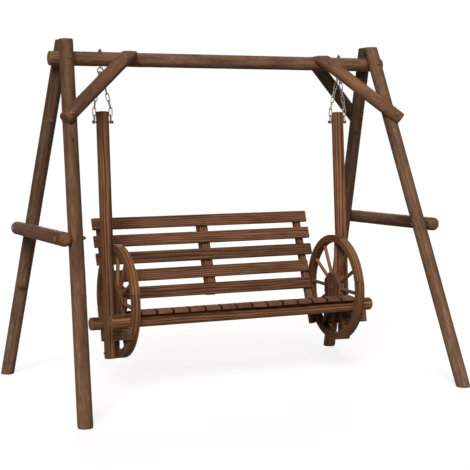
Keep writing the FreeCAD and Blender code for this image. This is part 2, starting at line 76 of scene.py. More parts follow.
def srgb(code):
    """Linear colour of an sRGB hex value."""
    parts = [int(code[i:i + 2], 16) / 255 for i in (1, 3, 5)]
    return [p / 12.92 if p <= 0.04045 else ((p + 0.055) / 1.055) ** 2.4 for p in parts] + [1.0]


def add(tree, kind, sockets=None, **settings):
    """A node with its settings. A socket gets a value, or a link from a socket or a node's first output."""
    made = tree.nodes.new(kind)
    for key, value in settings.items():
        setattr(made, key, value)
    for key, value in (sockets or {}).items():
        if isinstance(value, bpy.types.Node):
            value = value.outputs[0]
        if isinstance(value, bpy.types.NodeSocket):
            tree.links.new(value, made.inputs[key])
        else:
            made.inputs[key].default_value = value
    return made


def cleared(owner):
    """The empty node tree of a material or a world."""
    owner.use_nodes = True
    owner.node_tree.nodes.clear()
    return owner.node_tree


FIBRE_MM = 4.5455
FLAME_MM = 40.0
DRIFT_MM = 71.43
# Painted light: up to this height the colour is painted lighter towards the ground, as light from the
# floor.
PAINTED_FLOOR_LIGHT_HEIGHT = 1.3
KNOT_BROWN = "#2c1c12"
# Painted shade: the near black that the seat slats' sides are painted in the gaps.
GAP_SHADE_BLACK = "#20110a"
OPEN_END_LIGHT = "#b0713f"
OPEN_END_DARK = "#6b3f23"


def scorched_fir(name, light, dark, char, *, ring, stripe, patch, streak, warp, pith, spread, painted_floor_light=0.0):
    """Scorched and brushed fir as a solid: yearly rings round a pith, fibres along the grain.
    The rings show as stripes on a long face and as circles on an end. ring is their spacing in metres,
    drawn about twice as wide as in real fir, so that the stripes show at this picture's size. stripe is
    how dark they are and warp how far they wander, in metres. pith is where the timber lies from the
    trunk's middle, and spread how far that differs from one timber to the next. patch is how far the
    flame darkened it in patches, some 40 mm wide and 200 mm long. The fibres are drawn nearly 5 mm wide,
    to show at all, and 1 / streak times as long. The last keyword is how much lighter the colour is
    painted towards the ground, as painted light from the floor. Knots and worn ends are where the mesh's
    own attributes say, and so is the painted shade that darkens the seat slats' sides in the gaps."""
    material = bpy.data.materials.new(name)
    tree = cleared(material)
    grain = add(tree, "ShaderNodeAttribute", attribute_name="grain").outputs["Vector"]
    board, knot, worn, gap_shade = [
        add(tree, "ShaderNodeAttribute", attribute_name=label).outputs["Fac"]
        for label in ("board", "knot", "worn_end", "gap_shade")
    ]
    shift = add(tree, "ShaderNodeVectorMath", {0: board, 1: spread, 2: pith}, operation="MULTIPLY_ADD")
    here = add(tree, "ShaderNodeVectorMath", {0: grain, 1: shift}, operation="ADD")
    slow = add(tree, "ShaderNodeVectorMath", {0: here, 1: (1, 1, 0.1)}, operation="MULTIPLY")
    drift = add(tree, "ShaderNodeTexNoise", {"Vector": slow, "Scale": 1000 / DRIFT_MM, "Detail": 2.0})
    centred = add(tree, "ShaderNodeVectorMath", {0: drift.outputs["Color"], 1: (0.5, 0.5, 0.5)},
                  operation="SUBTRACT")
    bent = add(tree, "ShaderNodeVectorMath", {0: centred, 1: (warp, warp, 0), 2: here},
               operation="MULTIPLY_ADD")
    flat = add(tree, "ShaderNodeVectorMath", {0: bent, 1: (1, 1, 0)}, operation="MULTIPLY")
    radius = add(tree, "ShaderNodeVectorMath", {0: flat}, operation="LENGTH").outputs["Value"]
    swirl = add(tree, "ShaderNodeMath", {0: knot, 1: 2.5}, operation="MULTIPLY")
    rings = add(tree, "ShaderNodeMath", {0: radius, 1: 1 / ring, 2: swirl}, operation="MULTIPLY_ADD")
    year = add(tree, "ShaderNodeMath", {0: rings}, operation="FRACT")
    late = add(tree, "ShaderNodeValToRGB", {0: year})
    ramp = late.color_ramp
    ramp.elements[0].position = 0.0
    ramp.elements[0].color = (0.0, 0.0, 0.0, 1.0)
    ramp.elements[1].position = 1.0
    ramp.elements[1].color = (0.05, 0.05, 0.05, 1.0)
    for position, value in ((0.35, 0.12), (0.62, 0.8), (0.78, 1.0), (0.92, 0.35)):
        ramp.elements.new(position).color = (value, value, value, 1.0)
    striped = add(tree, "ShaderNodeMath", {0: late, 1: stripe}, operation="MULTIPLY")
    wood = add(tree, "ShaderNodeMix", {0: striped, 6: srgb(light), 7: srgb(dark)}, data_type="RGBA")
    cloud = add(tree, "ShaderNodeVectorMath", {0: here, 1: (1, 1, 0.2)}, operation="MULTIPLY")
    flame = add(tree, "ShaderNodeTexNoise", {"Vector": cloud, "Scale": 1000 / FLAME_MM, "Detail": 6.0})
    burn = add(tree, "ShaderNodeMapRange", {
        "Value": flame, "From Min": 0.4, "From Max": 0.66, "To Min": 0.0, "To Max": patch})
    burnt = add(tree, "ShaderNodeMix", {0: burn, 6: wood.outputs[2], 7: srgb(char)}, data_type="RGBA")
    long = add(tree, "ShaderNodeVectorMath", {0: here, 1: (1, 1, streak)}, operation="MULTIPLY")
    fibre = add(tree, "ShaderNodeTexNoise", {"Vector": long, "Scale": 1000 / FIBRE_MM, "Detail": 4.0})
    tone = add(tree, "ShaderNodeMapRange", {
        "Value": fibre, "From Min": 0.28, "From Max": 0.72, "To Min": 0.62, "To Max": 1.36})
    toned = add(tree, "ShaderNodeVectorMath", {0: burnt.outputs[2], "Scale": tone}, operation="SCALE")
    each = add(tree, "ShaderNodeMapRange", {"Value": board, "To Min": 0.62, "To Max": 1.22})
    where = add(tree, "ShaderNodeTexCoord").outputs["Object"]
    level = add(tree, "ShaderNodeSeparateXYZ", {0: where}).outputs["Z"]
    # Painted light: the colour is painted lighter towards the ground, standing in for light from the floor.
    foot = add(tree, "ShaderNodeMapRange", {
        "Value": level, "From Max": PAINTED_FLOOR_LIGHT_HEIGHT, "To Min": 1.0 + painted_floor_light, "To Max": 1.0})
    shade = add(tree, "ShaderNodeMath", {0: each, 1: foot}, operation="MULTIPLY")
    varied = add(tree, "ShaderNodeVectorMath", {0: toned, "Scale": shade}, operation="SCALE")
    cast = add(tree, "ShaderNodeMath", {0: board, 1: 7.3}, operation="MULTIPLY")
    own = add(tree, "ShaderNodeMath", {0: cast}, operation="FRACT")
    hue = add(tree, "ShaderNodeMapRange", {"Value": own, "To Min": 0.496, "To Max": 0.503})
    strong = add(tree, "ShaderNodeMapRange", {"Value": own, "To Min": 1.06, "To Max": 0.97})
    tinted = add(tree, "ShaderNodeHueSaturation", {"Hue": hue, "Saturation": strong, "Color": varied})
    eye = add(tree, "ShaderNodeMapRange", {
        "Value": knot, "From Min": 0.35, "From Max": 0.8, "To Min": 0.0, "To Max": 0.7})
    knotted = add(tree, "ShaderNodeMix", {0: eye, 6: tinted, 7: srgb(KNOT_BROWN)}, data_type="RGBA")
    open_end = add(tree, "ShaderNodeMix", {0: year, 6: srgb(OPEN_END_LIGHT), 7: srgb(OPEN_END_DARK)},
                   data_type="RGBA")
    bared = add(tree, "ShaderNodeMath", {0: worn, 1: fibre}, operation="MULTIPLY")
    ended = add(tree, "ShaderNodeMix", {0: bared, 6: knotted.outputs[2], 7: open_end.outputs[2]},
                data_type="RGBA")
    # Painted shade: the last attribute paints the seat slats' sides near black, as shade in the gaps.
    shaded_in_gaps = add(tree, "ShaderNodeMix", {0: gap_shade, 6: ended.outputs[2], 7: srgb(GAP_SHADE_BLACK)},
                 data_type="RGBA")
    relief = add(tree, "ShaderNodeMath", {0: late, 1: 0.6, 2: fibre}, operation="MULTIPLY_ADD")
    bump = add(tree, "ShaderNodeBump", {"Strength": 0.45, "Distance": 0.0012, "Height": relief})
    rough = add(tree, "ShaderNodeMapRange", {"Value": fibre, "To Min": 0.68, "To Max": 0.9})
    shader = add(tree, "ShaderNodeBsdfPrincipled", {
        "Base Color": shaded_in_gaps.outputs[2], "Roughness": rough, "Normal": bump, "Specular IOR Level": 0.1})
    add(tree, "ShaderNodeOutputMaterial", {"Surface": shader})
    return material


LOG_PITH = (0.012, 0.007, 0.0)
LOG_SPREAD = (0.008, 0.005, 9.0)
# Peeled fir, scorched and brushed: a dull reddish brown with soft dark streaks, painted lighter towards the
# ground as painted light from the floor.
peeled_fir = scorched_fir(
    "peeled_fir", "#88634b", "#5a4130", "#33241b", ring=0.009, stripe=0.42, patch=0.5, streak=0.12,
    warp=0.014, pith=LOG_PITH, spread=LOG_SPREAD, painted_floor_light=0.28)
# Shaded fir, the peeled fir painted darker and greyer as painted shade for the rear logs, which stand in
# shade; it is painted clearly paler towards the ground, as painted light from the floor.
rear_shaded_fir = scorched_fir(
    "rear_shaded_fir", "#7a5f4a", "#503d2e", "#2f241c", ring=0.009, stripe=0.42, patch=0.5, streak=0.12,
    warp=0.014, pith=LOG_PITH, spread=LOG_SPREAD, painted_floor_light=0.75)


def placed(name, data):
    """A new object in the scene."""
    made = bpy.data.objects.new(name, data)
    bpy.context.scene.collection.objects.link(made)
    return made


def settled(base):
    """Plain mesh of an object as its modifiers leave it. The object goes."""
    shaped = bpy.context.evaluated_depsgraph_get()
    mesh = bpy.data.meshes.new_from_object(base.evaluated_get(shaped))
    bpy.data.objects.remove(base)
    return mesh


def piece(name, mesh, material, body, nodes):
    """A finished piece: its material, the body it moves with and the nodes it stands for."""
    made = placed(name, mesh)
    mesh.materials.clear()
    mesh.materials.append(material)
    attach(made, body)
    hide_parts(*nodes)
    return made


SAME_POINT = 2e-5


def closed_copy(node):
    """Copy of a node's mesh with its loose triangles joined."""
    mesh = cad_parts[node].data.copy()
    joined = bmesh.new()
    joined.from_mesh(mesh)
    bmesh.ops.remove_doubles(joined, verts=joined.verts, dist=SAME_POINT)
    joined.to_mesh(mesh)
    joined.free()
    return mesh


def grain_frame(start, end):
    """Frame with its Z axis along the grain."""
    turn = (Vector(end) - Vector(start)).to_track_quat("Z", "X").to_matrix().to_4x4()
    return Matrix.Translation(start) @ turn


def write_grain(mesh, place, board, knots=None, ends=None):
    """Stores where each point lies in its timber, the timber's own number, and how near a knot or a
    worn end the point is."""
    inverse = place.inverted()
    spots = [inverse @ v.co for v in mesh.vertices]
    grain = mesh.attributes.new("grain", "FLOAT_VECTOR", "POINT")
    grain.data.foreach_set("vector", [c for s in spots for c in s])
    none = [0.0] * len(spots)
    stored = {"board": [board] * len(spots), "knot": knots or none, "worn_end": ends or none}
    for label, values in stored.items():
        mesh.attributes.new(label, "FLOAT", "POINT").data.foreach_set("value", values)


LOG_VOXEL = 0.005
EVEN_LOSS = 0.0013
KNOT_WIDTHS = (0.009, 0.016)
KNOT_STRETCH = 1.35
SLOW_WAVES = (9, 9, 3.5)
SLOW_RISE = 0.45
QUICK_WAVES = (45, 45, 14)
QUICK_RISE = 0.12
KNOT_RISE = 0.6


def waves(spot, scale, shift):
    """Uneven rise at a place in a log. scale is how many waves there are to a metre on each axis."""
    return noise.noise(Vector((spot.x * scale[0], spot.y * scale[1], spot.z * scale[2] + shift)))


def peeled_log(node, body, material, start, end, radius, *, seed, knots_per_metre, relief, tone,
               bare=0.0, scars=()):
    """A log with its edges worn round, slightly uneven along its length, with low knots.
    The even mesh comes out thinner than the turned log by EVEN_LOSS, and is swollen back to its size.
    tone is the log's own number, from which its shade and grain follow, and bare how far the wood's
    orange colour is open on its ends. scars are listed knots, besides the random ones."""
    base = placed(node + "_base", closed_copy(node))
    remesh = base.modifiers.new("even", "REMESH")
    remesh.mode = "VOXEL"
    remesh.voxel_size = LOG_VOXEL
    soften = base.modifiers.new("soften", "SMOOTH")
    soften.factor = 0.5
    soften.iterations = 3
    mesh = settled(base)
    place = grain_frame(start, end)
    inverse = place.inverted()
    length = (Vector(end) - Vector(start)).length
    run = (Vector(end) - Vector(start)).normalized()
    rng = random.Random(seed)
    knots = list(scars)
    for index in range(round(length * knots_per_metre)):
        height = length * (index + rng.uniform(0.2, 0.8)) / (length * knots_per_metre)
        knots.append((rng.uniform(-math.pi, math.pi), height, rng.uniform(*KNOT_WIDTHS), KNOT_STRETCH))
    nearness = []
    ends = []
    corners = []
    for co, normal in [(v.co.copy(), v.normal.copy()) for v in mesh.vertices]:
        spot = inverse @ co
        angle = math.atan2(spot.y, spot.x)
        near = 0.0
        for turn, height, width, stretch in knots:
            across = radius * ((angle - turn + math.pi) % (2 * math.pi) - math.pi)
            away = math.hypot(across, (spot.z - height) / stretch)
            near = max(near, math.exp(-((away / width) ** 2)))
        nearness.append(near)
        ends.append(min(1.0, bare * abs(normal.dot(run)) ** 2))
        slow = waves(spot, SLOW_WAVES, seed * 7.3)
        quick = waves(spot, QUICK_WAVES, seed * 3.1)
        rise = EVEN_LOSS + relief * (SLOW_RISE * slow + QUICK_RISE * quick + KNOT_RISE * near)
        across_grain = normal - run * normal.dot(run)
        corners.extend(co + across_grain * rise)
    mesh.vertices.foreach_set("co", corners)
    mesh.update()
    mesh.shade_smooth()
    write_grain(mesh, place, tone, nearness, ends)
    return piece(node + "_peeled", mesh, material, body, [node])


def mirrored(place, side, face="rear"):
    """A place given for the right rear quarter of the frame, in the quarter asked for."""
    return Vector((SIDES[side] * place[0], FACES[face] * place[1], place[2]))


# The rear legs take the shaded fir: their darker colour is painted shade.
for side, sign_x in SIDES.items():
    for face, sign_y in FACES.items():
        peeled_log(
            f"leg_{face}_{side}", "frame", peeled_fir if face == "front" else rear_shaded_fir,
            mirrored(LEG_FOOT, side, face), mirrored(LEG_TOP, side, face), LEG_RADIUS,
            seed=11 + 3 * sign_x + sign_y, knots_per_metre=0.9, relief=0.0016, tone=LEG_TONES_AND_REAR_SHADE[face, side],
            scars=LEG_SCARS.get((face, side), ()),
        )

# Top beam: one straight peeled fir log across the whole frame, sawn square at both ends.
# It lies in the copes of the legs and carries the swing's two eye bolts.
BEAM_END = (0.958, 0.0, 1.705)
BEAM_RADIUS = 0.03525
peeled_log(
    "top_beam", "frame", peeled_fir, mirrored(BEAM_END, "left"), mirrored(BEAM_END, "right"),
    BEAM_RADIUS, seed=23, knots_per_metre=1.6, relief=0.0014, tone=0.52,
)

# Spreaders: a short peeled fir log outside each pair of legs, its ends rounded over.
# It is housed a few millimetres over each leg and stops the pair from sliding apart.
# The left one's ends have lost their scorched skin, so the orange wood shows there.
SPREADER_END = (1.021, 0.4585, 0.834)
SPREADER_RADIUS = 0.034
for side, tone, bare in (("left", 0.0, 1.15), ("right", 0.1, 0.05)):
    peeled_log(
        f"spreader_{side}", "frame", peeled_fir,
        mirrored(SPREADER_END, side, "front"), mirrored(SPREADER_END, side, "rear"), SPREADER_RADIUS,
        seed=31 + SIDES[side], knots_per_metre=2.2, relief=0.0016, tone=tone, bare=bare,
    )

# Braces: peeled fir logs from the legs up to the beam, two in front and one behind.
# They keep the frame square. Each is notched over its leg and over the beam, and cut level above it.
# The rear brace takes the shaded fir and a low tone: its darker colour is painted shade.
BRACES = (("front", "left", 0.46), ("front", "right", 1.0), ("rear", "right", 0.12))
BRACE_FOOT = (0.947, 0.232, 1.397)
BRACE_TOP = (0.578, 0.068, 1.709)
BRACE_RADIUS = 0.034
for face, side, tone in BRACES:
    peeled_log(
        f"brace_{face}_{side}", "frame", peeled_fir if face == "front" else rear_shaded_fir,
        mirrored(BRACE_FOOT, side, face), mirrored(BRACE_TOP, side, face), BRACE_RADIUS,
        seed=41 + 3 * SIDES[side] + FACES[face], knots_per_metre=1.6, relief=0.0014, tone=tone,
    )

# Frame bolts: plated steel bolts with low domed heads on washers, let through every crossing of two logs.
# A nut on a washer closes the far end. The weather has turned them brown, and they are dull in patches.
RIDGE_BOLT = (0.884, 0.0, 1.705)
SPREADER_BOLT = (1.021, 0.4, 0.834)
SPREADER_NUT = (0.956, 0.4, 0.834)
BRACE_BOLT = (0.911, 0.216, 1.4275)
BRACE_NUT = (0.911, 0.17, 1.4275)
BEAM_BOLT = (0.578, 0.0, 1.709)
SPARE_BOLT = (0.909, 0.183, 1.397)
DULL_PATCH_MM = 3.846
PIT_MM = 1.1111


def weathered_steel(name, bright, dull, roughness):
    """Plated steel that has dulled in patches, a few millimetres wide, with fine pits."""
    material = bpy.data.materials.new(name)
    tree = cleared(material)
    where = add(tree, "ShaderNodeTexCoord").outputs["Object"]
    patch = add(tree, "ShaderNodeTexNoise", {"Vector": where, "Scale": 1000 / DULL_PATCH_MM, "Detail": 4.0})
    dulled = add(tree, "ShaderNodeMapRange", {"Value": patch, "From Min": 0.35, "From Max": 0.65})
    tone = add(tree, "ShaderNodeMix", {0: dulled, 6: srgb(bright), 7: srgb(dull)}, data_type="RGBA")
    rough = add(tree, "ShaderNodeMapRange", {
        "Value": patch, "To Min": roughness, "To Max": roughness + 0.25})
    pits = add(tree, "ShaderNodeTexNoise", {"Vector": where, "Scale": 1000 / PIT_MM, "Detail": 2.0})
    bump = add(tree, "ShaderNodeBump", {"Strength": 0.2, "Distance": 0.0003, "Height": pits})
    shader = add(tree, "ShaderNodeBsdfPrincipled", {
        "Base Color": tone.outputs[2], "Roughness": rough, "Normal": bump, "Metallic": 1.0})
    add(tree, "ShaderNodeOutputMaterial", {"Surface": shader})
    return material


# Bolt steel, gone brown outdoors: a warm half-dull gleam that is dark in patches.
bolt_steel = weathered_steel("dulled_bolt_steel", "#846249", "#2c1d14", 0.34)


def new_tree(name, inputs):
    """A geometry tree with named inputs. Gives the tree and its inputs' sockets by name."""
    tree = bpy.data.node_groups.new(name, "GeometryNodeTree")
    tree.interface.new_socket(name="Geometry", in_out="INPUT", socket_type="NodeSocketGeometry")
    for label, kind in inputs.items():
        tree.interface.new_socket(name=label, in_out="INPUT", socket_type="NodeSocket" + kind)
    tree.interface.new_socket(name="Geometry", in_out="OUTPUT", socket_type="NodeSocketGeometry")
    return tree, {socket.name: socket for socket in add(tree, "NodeGroupInput").outputs}


def close_tree(tree, copies, material):
    """The end of every tree: real meshes with their material."""
    real = add(tree, "GeometryNodeRealizeInstances", {"Geometry": copies})
    painted = add(tree, "GeometryNodeSetMaterial", {"Geometry": real, "Material": material})
    add(tree, "NodeGroupOutput", {0: painted})


def grown(name, tree, values, points=((0, 0, 0),), directions=None):
    """Plain mesh that a tree makes on these points."""
    seeds = bpy.data.meshes.new(name + "_points")
    seeds.from_pydata(points, [], [])
    if directions:
        out = seeds.attributes.new("out", "FLOAT_VECTOR", "POINT")
        out.data.foreach_set("vector", [c for d in directions for c in d])
    base = placed(name + "_seeds", seeds)
    maker = base.modifiers.new("maker", "NODES")
    maker.node_group = tree
    for socket in tree.interface.items_tree:
        if socket.in_out == "INPUT" and socket.name in values:
            maker[socket.identifier] = values[socket.name]
    return settled(base)


# A washer, a head and a smaller crown or tip stand on each other along each point's out vector.
# Each narrows a little to its top, and the last number says to what part of its radius.
fasteners, given = new_tree("bolt_heads_and_nuts", {
    "Washer Radius": "Float", "Washer Height": "Float", "Head Radius": "Float", "Head Height": "Float",
    "Head Sides": "Int", "Tip Radius": "Float", "Tip Height": "Float", "Metal": "Material",
})
whole = add(fasteners, "GeometryNodeJoinGeometry")
reached = 0.0
for part, sides, part_left in (("Washer", 28, 0.86), ("Head", given["Head Sides"], 0.9), ("Tip", 20, 0.7)):
    radius = given[part + " Radius"]
    height = given[part + " Height"]
    narrow = add(fasteners, "ShaderNodeMath", {0: radius, 1: part_left}, operation="MULTIPLY")
    cone = add(fasteners, "GeometryNodeMeshCone", {
        "Vertices": sides, "Radius Top": narrow, "Radius Bottom": radius, "Depth": height},
        fill_type="NGON")
    lift = add(fasteners, "ShaderNodeCombineXYZ", {"Z": reached})
    stacked = add(fasteners, "GeometryNodeTransform", {"Geometry": cone, "Translation": lift})
    fasteners.links.new(stacked.outputs[0], whole.inputs[0])
    reached = add(fasteners, "ShaderNodeMath", {0: reached, 1: height}, operation="ADD")
out = add(fasteners, "GeometryNodeInputNamedAttribute", {"Name": "out"}, data_type="FLOAT_VECTOR")
turn = add(fasteners, "FunctionNodeAlignRotationToVector", {"Vector": out}, axis="Z")
set_on = add(fasteners, "GeometryNodeInstanceOnPoints", {
    "Points": given["Geometry"], "Instance": whole, "Rotation": turn})
close_tree(fasteners, set_on, given["Metal"])


def set_fasteners(name, body, spots, *, washer, head, sides, tip, sink, nodes=()):
    """Like heads or nuts as one piece. washer, head and tip are a radius and a height each, and sink is
    how deep they sit in what carries them."""
    mesh = grown(name, fasteners, {
        "Washer Radius": washer[0], "Washer Height": washer[1], "Head Radius": head[0],
        "Head Height": head[1], "Head Sides": sides, "Tip Radius": tip[0], "Tip Height": tip[1],
        "Metal": bolt_steel,
    }, [spot - out * sink for spot, out in spots], [out for _, out in spots])
    piece(name, mesh, bolt_steel, body, nodes)


WELL_OUTSIDE = 0.6


def surface(node, towards, way):
    """Where a line along way, to the point towards, meets a log's outside, and how that faces."""
    mesh = bpy.data.objects[node + "_peeled"].data
    skin = BVHTree.FromPolygons([v.co for v in mesh.vertices], [p.vertices[:] for p in mesh.polygons])
    where, normal, _, _ = skin.ray_cast(towards - way * WELL_OUTSIDE, way)
    return where, normal


heads = []
nuts = []


def let_through(near, inlet, far, outlet, way):
    """A bolt that goes in at one log along way, and comes out at another."""
    heads.append(surface(near, inlet, way))
    nuts.append(surface(far, outlet, -way))


backwards = Vector((0, 1, 0))
for side, sign_x in SIDES.items():
    ridge = mirrored(RIDGE_BOLT, side)
    let_through(f"leg_front_{side}", ridge, f"leg_rear_{side}", ridge, backwards)
    for face in FACES:
        outer, inner = mirrored(SPREADER_BOLT, side, face), mirrored(SPREADER_NUT, side, face)
        let_through(f"spreader_{side}", outer, f"leg_{face}_{side}", inner, Vector((-sign_x, 0, 0)))
for face, side, _ in BRACES:
    outer, inner = mirrored(BRACE_BOLT, side, face), mirrored(BRACE_NUT, side, face)
    let_through(f"brace_{face}_{side}", outer, f"leg_{face}_{side}", inner, -FACES[face] * backwards)
for near, far, spot in (
    ("brace_front_left", "top_beam", mirrored(BEAM_BOLT, "left")),
    ("brace_front_right", "brace_rear_right", mirrored(BEAM_BOLT, "right")),
    ("leg_rear_left", "leg_rear_left", mirrored(SPARE_BOLT, "left")),
):
    let_through(near, spot, far, spot, backwards)
set_fasteners("frame_bolt_heads", "frame", heads, washer=(0.013, 0.0016), head=(0.0112, 0.005), sides=24,
              tip=(0.0088, 0.002), sink=0.001)
set_fasteners("frame_bolt_nuts", "frame", nuts, washer=(0.0115, 0.0018), head=(0.0095, 0.008), sides=6,
              tip=(0.005, 0.006), sink=0.001)

# Eye bolts: a ring of bent round bar on a threaded shank, one through each end of the beam.
# It is plated steel, brighter than the frame bolts. A dark nut on a washer holds it on top of the beam.
EYE = (0.69, 0.0, 1.648)
RING_MEAN = 0.015
RING_BAR = 0.0035
RING_STEPS = 48
BAR_STEPS = 14
SHANK_FOOT = 1.6615
SHANK_LENGTH = 0.0945
SHANK_RADIUS = 0.004
SHANK_TIP_RADIUS = 0.0032
SHANK_STEPS = 18
PLAIN_SHANK = 0.03
THREAD_PITCH = 0.00125
THREAD_TURNS = 50
THREAD_ROOT = 0.00352
ROOT_IN_TURN = 0.35
CREST_IN_TURN = 0.85
# Zinc-plated steel: pale grey and fairly bright, with darker patches where the plating has dulled.
chain_steel = weathered_steel("zinc_plated_steel", "#b4ad9e", "#4c473c", 0.26)


def revolved(shape, place, steps):
    """Corners and faces of a turned solid. shape lists radius and height from the bottom to the top."""
    rows = []
    for radius, height in shape:
        angles = [2 * math.pi * k / steps for k in range(steps)]
        rows.append([(radius * math.cos(a), radius * math.sin(a), height) for a in angles])
    corners = [place @ Vector(c) for row in rows for c in row]
    faces = [tuple(reversed(range(steps))), tuple(range(len(corners) - steps, len(corners)))]
    for row in range(len(rows) - 1):
        for k in range(steps):
            low, high = row * steps, (row + 1) * steps
            faces.append((low + k, low + (k + 1) % steps, high + (k + 1) % steps, high + k))
    return corners, faces


for side in SIDES:
    middle = mirrored(EYE, side)
    corners = []
    faces = []
    for k in range(RING_STEPS):
        a = 2 * math.pi * k / RING_STEPS
        here, onward = k * BAR_STEPS, (k + 1) % RING_STEPS * BAR_STEPS
        for j in range(BAR_STEPS):
            b = 2 * math.pi * j / BAR_STEPS
            reach = RING_MEAN + RING_BAR * math.cos(b)
            spot = (reach * math.cos(a), RING_BAR * math.sin(b), reach * math.sin(a))
            corners.append(middle + Vector(spot))
            beside = (j + 1) % BAR_STEPS
            faces.append((here + j, here + beside, onward + beside, onward + j))
    shape = [(SHANK_RADIUS, 0.0), (SHANK_RADIUS, PLAIN_SHANK)]
    for turn in range(THREAD_TURNS):
        shape.append((THREAD_ROOT, PLAIN_SHANK + THREAD_PITCH * (turn + ROOT_IN_TURN)))
        shape.append((SHANK_RADIUS, PLAIN_SHANK + THREAD_PITCH * (turn + CREST_IN_TURN)))
    shape.append((SHANK_TIP_RADIUS, SHANK_LENGTH))
    shank, around = revolved(shape, Matrix.Translation((middle.x, 0, SHANK_FOOT)), SHANK_STEPS)
    faces += [tuple(i + len(corners) for i in f) for f in around]
    mesh = bpy.data.meshes.new(f"eye_bolt_{side}_turned")
    mesh.from_pydata(corners + shank, [], faces)
    solid = bmesh.new()
    solid.from_mesh(mesh)
    bmesh.ops.recalc_face_normals(solid, faces=solid.faces)
    solid.to_mesh(mesh)
    solid.free()
    mesh.shade_smooth()
    piece(f"eye_bolt_{side}_turned", mesh, chain_steel, "frame", [f"eye_bolt_{side}"])
upwards = Vector((0, 0, 1))
tops = [surface("top_beam", mirrored((EYE[0], 0, BEAM_END[2]), side), -upwards)[0] for side in SIDES]
set_fasteners("eye_bolt_nuts", "frame", [(top, upwards) for top in tops], washer=(0.0125, 0.002),
              head=(0.0105, 0.0085), sides=6, tip=(0.0052, 0.007), sink=0.001, nodes=["eye_nuts"])

# Chains: welded links of bright plated round bar, each turned a quarter against the next.
# Two strands of seven leave every eye bolt, lean apart over the hanger's head and end upright on its bolt.
LINK_BAR = 0.00275
LINK_WIDTH = 0.0105
LINK_LENGTH = 0.038
NEARLY_HALF = 0.4999
LEANING_LINKS = 5
UPRIGHT_LINKS = 2
HANGER_X = 0.682
STRAND_TOP = 1.64
STRAND_TOP_SHIFT = 0.0048
STRAND_FOOT = 1.3837
STRAND_FOOT_SHIFT = 0.0435
chains, given = new_tree("welded_chain", {
    "Bar Radius": "Float", "Inner Width": "Float", "Inner Length": "Float", "Links": "Int",
    "Metal": "Material",
})
bar = add(chains, "ShaderNodeMath", {0: given["Bar Radius"], 1: 2.0}, operation="MULTIPLY")
broad = add(chains, "ShaderNodeMath", {0: given["Inner Width"], 1: bar}, operation="ADD")
tall = add(chains, "ShaderNodeMath", {0: given["Inner Length"], 1: bar}, operation="ADD")
corner = add(chains, "ShaderNodeMath", {0: broad, 1: NEARLY_HALF}, operation="MULTIPLY")
path = add(chains, "GeometryNodeCurvePrimitiveQuadrilateral", {"Width": broad, "Height": tall})
rounded = add(chains, "GeometryNodeFilletCurve", {"Curve": path, "Count": 9, "Radius": corner}, mode="POLY")
ring = add(chains, "GeometryNodeCurvePrimitiveCircle", {"Resolution": 12, "Radius": given["Bar Radius"]})
link = add(chains, "GeometryNodeCurveToMesh", {"Curve": rounded, "Profile Curve": ring})
upright = add(chains, "GeometryNodeTransform", {"Geometry": link, "Rotation": (math.pi / 2, 0, 0)})
smooth = add(chains, "GeometryNodeSetShadeSmooth", {"Geometry": upright})
out = add(chains, "GeometryNodeInputNamedAttribute", {"Name": "out"}, data_type="FLOAT_VECTOR")
leant = add(chains, "FunctionNodeAlignRotationToVector", {"Vector": out}, axis="Z")
index = add(chains, "GeometryNodeInputIndex")
in_strand = add(chains, "ShaderNodeMath", {0: index, 1: given["Links"]}, operation="MODULO")
odd = add(chains, "ShaderNodeMath", {0: in_strand, 1: 2.0}, operation="MODULO")
quarter = add(chains, "ShaderNodeMath", {0: odd, 1: -math.pi / 2, 2: math.pi / 2}, operation="MULTIPLY_ADD")
roll = add(chains, "ShaderNodeCombineXYZ", {"Z": quarter})
rolled = add(chains, "FunctionNodeEulerToRotation", {0: roll})
turned = add(chains, "FunctionNodeRotateRotation", {0: leant, 1: rolled}, rotation_space="LOCAL")
linked = add(chains, "GeometryNodeInstanceOnPoints", {
    "Points": given["Geometry"], "Instance": smooth, "Rotation": turned})
close_tree(chains, linked, given["Metal"])
# The links' pitch is what takes the leaning and the upright ones together from the eye to the bolt.
excess = LEANING_LINKS ** 2 - UPRIGHT_LINKS ** 2
for side, sign_x in SIDES.items():
    centres = []
    runs = []
    for strand in (1, -1):
        top = Vector((sign_x * EYE[0] + strand * STRAND_TOP_SHIFT, 0, STRAND_TOP))
        foot = Vector((sign_x * HANGER_X + strand * STRAND_FOOT_SHIFT, 0, STRAND_FOOT))
        lean, drop = foot.x - top.x, top.z - foot.z
        stretch = math.sqrt((UPRIGHT_LINKS * drop) ** 2 + excess * (lean ** 2 + drop ** 2))
        pitch = (stretch - UPRIGHT_LINKS * drop) / excess
        slope = Vector((lean, 0, -drop + UPRIGHT_LINKS * pitch)).normalized()
        spot = top
        for number in range(LEANING_LINKS + UPRIGHT_LINKS):
            way = slope if number < LEANING_LINKS else Vector((0, 0, -1))
            centres.append(spot + way * pitch / 2)
            runs.append(-way)
            spot = spot + way * pitch
    mesh = grown(f"chain_{side}_links", chains, {
        "Bar Radius": LINK_BAR, "Inner Width": LINK_WIDTH, "Inner Length": LINK_LENGTH,
        "Links": LEANING_LINKS + UPRIGHT_LINKS, "Metal": chain_steel,
    }, centres, runs)
    piece(f"chain_{side}_links", mesh, chain_steel, f"chain_{side}",
          [f"chain_{side}_outer", f"chain_{side}_inner"])

# Hangers: two straight turned fir poles that carry the whole bench, sawn square at both ends.
# They are cut off-centre from a thicker trunk, so bold light and dark stripes run down them.
# Each is flattened against its wheel and housed round the bearer.
HANGER_BOLT_Z = 1.388
BENCH_TILT = math.radians(-3.45)
BENCH = Matrix.Translation((0, 0, HANGER_BOLT_Z)) @ Matrix.Rotation(BENCH_TILT, 4, "X")
HANGER_FOOT = -1.206
HANGER_TOP = 0.054
HANGER_RADIUS = 0.0315
